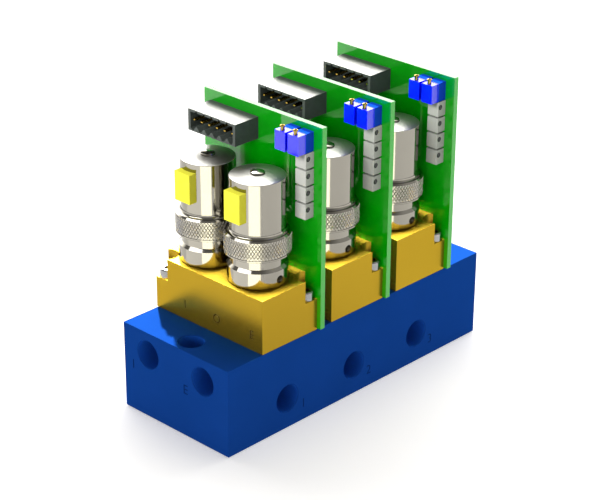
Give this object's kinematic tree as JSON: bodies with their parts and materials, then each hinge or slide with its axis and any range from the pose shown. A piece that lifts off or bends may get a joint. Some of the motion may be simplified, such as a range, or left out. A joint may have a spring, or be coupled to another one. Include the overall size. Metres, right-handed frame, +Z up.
{
  "type": "electronic pressure regulator",
  "caption": "Manifold block with electronic pressure regulator units, each a brass body with inlet and exhaust solenoid valves and an upright control board.",
  "frame": {"origin": "centre of the manifold's bottom face", "axes": "+X along the manifold from unit 1 to unit 3, +Y from the outlet port face to the back, +Z up"},
  "size_m": [0.1, 0.0433, 0.0828],
  "materials": {
    "blue_anodised": "satin blue anodised",
    "brass": "smooth machined",
    "nickel_plate": "polished nickel plate",
    "knurled_nickel": "diamond knurled nickel plate",
    "steel": "bright steel",
    "board_green": "glossy green solder mask",
    "black_plastic": "fine satin",
    "gold_plate": "gold flash",
    "trimmer_light_blue": "smooth moulded",
    "trimmer_dark_blue": "smooth moulded",
    "trimmer_screw_brass": "bright turned",
    "grey_plastic": "fine satin",
    "yellow_plastic": "smooth moulded",
    "coil_winding": "enamelled copper winding",
    "rubber": "smooth"
  },
  "bodies": {
    "manifold_assembly": {"manifold": "blue_anodised", "cap_screws": "steel", "board_screws": "steel", "seal_rings": "rubber", "pressure_sensors": "steel", "header_pins": "gold_plate", "guide_tubes": "steel", "solenoid_coils": "coil_winding", "pole_pieces": "nickel_plate", "regulator_body_1": "brass", "regulator_body_2": "brass", "regulator_body_3": "brass", "circuit_board_1": "board_green", "circuit_board_2": "board_green", "circuit_board_3": "board_green", "pin_header_1": "black_plastic", "pin_header_2": "black_plastic", "pin_header_3": "black_plastic", "trimmer_housings_1": "trimmer_light_blue", "trimmer_housings_2": "trimmer_light_blue", "trimmer_housings_3": "trimmer_light_blue", "trimmer_bases_1": "trimmer_dark_blue", "trimmer_bases_2": "trimmer_dark_blue", "trimmer_bases_3": "trimmer_dark_blue", "indicator_blocks_1": "grey_plastic", "indicator_blocks_2": "grey_plastic", "indicator_blocks_3": "grey_plastic", "valve_bases_1": "nickel_plate", "valve_bases_2": "nickel_plate", "valve_bases_3": "nickel_plate", "coil_housings_1": "nickel_plate", "coil_housings_2": "nickel_plate", "coil_housings_3": "nickel_plate", "lead_blocks_1": "yellow_plastic", "lead_blocks_2": "yellow_plastic", "lead_blocks_3": "yellow_plastic", "inlet_spring_1": "steel", "exhaust_spring_1": "steel", "inlet_spring_2": "steel", "exhaust_spring_2": "steel", "inlet_spring_3": "steel", "exhaust_spring_3": "steel"},
    "inlet_collar_1": {"inlet_collar_1": "knurled_nickel"},
    "inlet_plunger_1": {"inlet_plunger_1": "steel"},
    "exhaust_collar_1": {"exhaust_collar_1": "knurled_nickel"},
    "exhaust_plunger_1": {"exhaust_plunger_1": "steel"},
    "zero_screw_1": {"zero_screw_1": "trimmer_screw_brass"},
    "span_screw_1": {"span_screw_1": "trimmer_screw_brass"},
    "inlet_collar_2": {"inlet_collar_2": "knurled_nickel"},
    "inlet_plunger_2": {"inlet_plunger_2": "steel"},
    "exhaust_collar_2": {"exhaust_collar_2": "knurled_nickel"},
    "exhaust_plunger_2": {"exhaust_plunger_2": "steel"},
    "zero_screw_2": {"zero_screw_2": "trimmer_screw_brass"},
    "span_screw_2": {"span_screw_2": "trimmer_screw_brass"},
    "inlet_collar_3": {"inlet_collar_3": "knurled_nickel"},
    "inlet_plunger_3": {"inlet_plunger_3": "steel"},
    "exhaust_collar_3": {"exhaust_collar_3": "knurled_nickel"},
    "exhaust_plunger_3": {"exhaust_plunger_3": "steel"},
    "zero_screw_3": {"zero_screw_3": "trimmer_screw_brass"},
    "span_screw_3": {"span_screw_3": "trimmer_screw_brass"}
  },
  "joints": [
    {"name": "inlet_collar_turn_1", "type": "hinge", "parent": "manifold_assembly", "child": "inlet_collar_1", "pos_m": [-0.0281, 0.0094, 0.0519], "axis": [0, 0, 1], "range_deg": [0, 360]},
    {"name": "inlet_plunger_lift_1", "type": "slide", "parent": "manifold_assembly", "child": "inlet_plunger_1", "axis": [0, 0, 1], "range_m": [0, 0.0005], "stiffness_N_per_m": 400, "springref_m": -0.0015, "deforming": ["inlet_spring_1"]},
    {"name": "exhaust_collar_turn_1", "type": "hinge", "parent": "manifold_assembly", "child": "exhaust_collar_1", "pos_m": [-0.0281, -0.009, 0.0519], "axis": [0, 0, 1], "range_deg": [0, 360]},
    {"name": "exhaust_plunger_lift_1", "type": "slide", "parent": "manifold_assembly", "child": "exhaust_plunger_1", "axis": [0, 0, 1], "range_m": [0, 0.0005], "stiffness_N_per_m": 400, "springref_m": -0.0015, "deforming": ["exhaust_spring_1"]},
    {"name": "zero_screw_turn_1", "type": "hinge", "parent": "manifold_assembly", "child": "zero_screw_1", "pos_m": [-0.02185, -0.01177, 0.0812], "axis": [0, 0, 1], "continuous": true},
    {"name": "span_screw_turn_1", "type": "hinge", "parent": "manifold_assembly", "child": "span_screw_1", "pos_m": [-0.02185, -0.01633, 0.0812], "axis": [0, 0, 1], "continuous": true},
    {"name": "inlet_collar_turn_2", "type": "hinge", "parent": "manifold_assembly", "child": "inlet_collar_2", "pos_m": [-0.0021, 0.0094, 0.0519], "axis": [0, 0, 1], "range_deg": [0, 360]},
    {"name": "inlet_plunger_lift_2", "type": "slide", "parent": "manifold_assembly", "child": "inlet_plunger_2", "axis": [0, 0, 1], "range_m": [0, 0.0005], "stiffness_N_per_m": 400, "springref_m": -0.0015, "deforming": ["inlet_spring_2"]},
    {"name": "exhaust_collar_turn_2", "type": "hinge", "parent": "manifold_assembly", "child": "exhaust_collar_2", "pos_m": [-0.0021, -0.009, 0.0519], "axis": [0, 0, 1], "range_deg": [0, 360]},
    {"name": "exhaust_plunger_lift_2", "type": "slide", "parent": "manifold_assembly", "child": "exhaust_plunger_2", "axis": [0, 0, 1], "range_m": [0, 0.0005], "stiffness_N_per_m": 400, "springref_m": -0.0015, "deforming": ["exhaust_spring_2"]},
    {"name": "zero_screw_turn_2", "type": "hinge", "parent": "manifold_assembly", "child": "zero_screw_2", "pos_m": [0.00415, -0.01177, 0.0812], "axis": [0, 0, 1], "continuous": true},
    {"name": "span_screw_turn_2", "type": "hinge", "parent": "manifold_assembly", "child": "span_screw_2", "pos_m": [0.00415, -0.01633, 0.0812], "axis": [0, 0, 1], "continuous": true},
    {"name": "inlet_collar_turn_3", "type": "hinge", "parent": "manifold_assembly", "child": "inlet_collar_3", "pos_m": [0.0239, 0.0094, 0.0519], "axis": [0, 0, 1], "range_deg": [0, 360]},
    {"name": "inlet_plunger_lift_3", "type": "slide", "parent": "manifold_assembly", "child": "inlet_plunger_3", "axis": [0, 0, 1], "range_m": [0, 0.0005], "stiffness_N_per_m": 400, "springref_m": -0.0015, "deforming": ["inlet_spring_3"]},
    {"name": "exhaust_collar_turn_3", "type": "hinge", "parent": "manifold_assembly", "child": "exhaust_collar_3", "pos_m": [0.0239, -0.009, 0.0519], "axis": [0, 0, 1], "range_deg": [0, 360]},
    {"name": "exhaust_plunger_lift_3", "type": "slide", "parent": "manifold_assembly", "child": "exhaust_plunger_3", "axis": [0, 0, 1], "range_m": [0, 0.0005], "stiffness_N_per_m": 400, "springref_m": -0.0015, "deforming": ["exhaust_spring_3"]},
    {"name": "zero_screw_turn_3", "type": "hinge", "parent": "manifold_assembly", "child": "zero_screw_3", "pos_m": [0.03015, -0.01177, 0.0812], "axis": [0, 0, 1], "continuous": true},
    {"name": "span_screw_turn_3", "type": "hinge", "parent": "manifold_assembly", "child": "span_screw_3", "pos_m": [0.03015, -0.01633, 0.0812], "axis": [0, 0, 1], "continuous": true}
  ]
}
